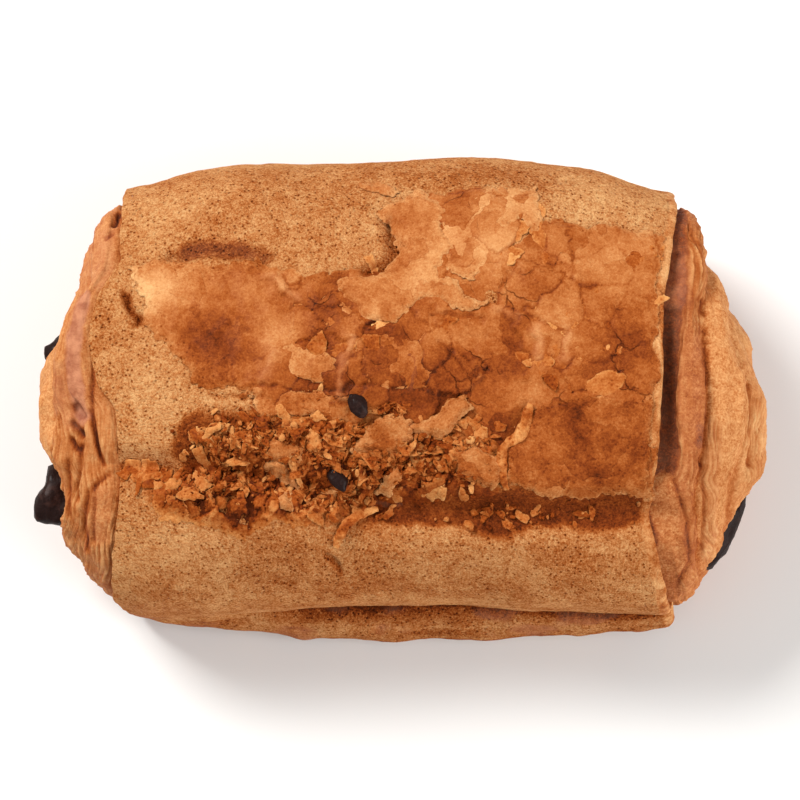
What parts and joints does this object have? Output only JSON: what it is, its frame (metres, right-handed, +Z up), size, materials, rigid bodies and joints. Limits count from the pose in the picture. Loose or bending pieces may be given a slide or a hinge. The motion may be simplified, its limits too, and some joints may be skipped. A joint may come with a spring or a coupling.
{
  "type": "pain au chocolat",
  "caption": "Baked roll of laminated dough with a glazed flaky top and chocolate sticks running through it, showing at both ends; it rests on its flat base.",
  "frame": {"origin": "on the flat base, under the middle of the roll's box", "axes": "+X along the roll, +Y towards its back, +Z up from the base to the flaky top"},
  "size_m": [0.116, 0.0754, 0.0485],
  "materials": {
    "crust": "baked, porous, with an egg-washed sheen on the skin",
    "chocolate": "satin, softened and set again"
  },
  "bodies": {
    "root": {"pastry": "crust", "chocolate_stick_front": "chocolate", "chocolate_stick_back": "chocolate"}
  },
  "joints": []
}
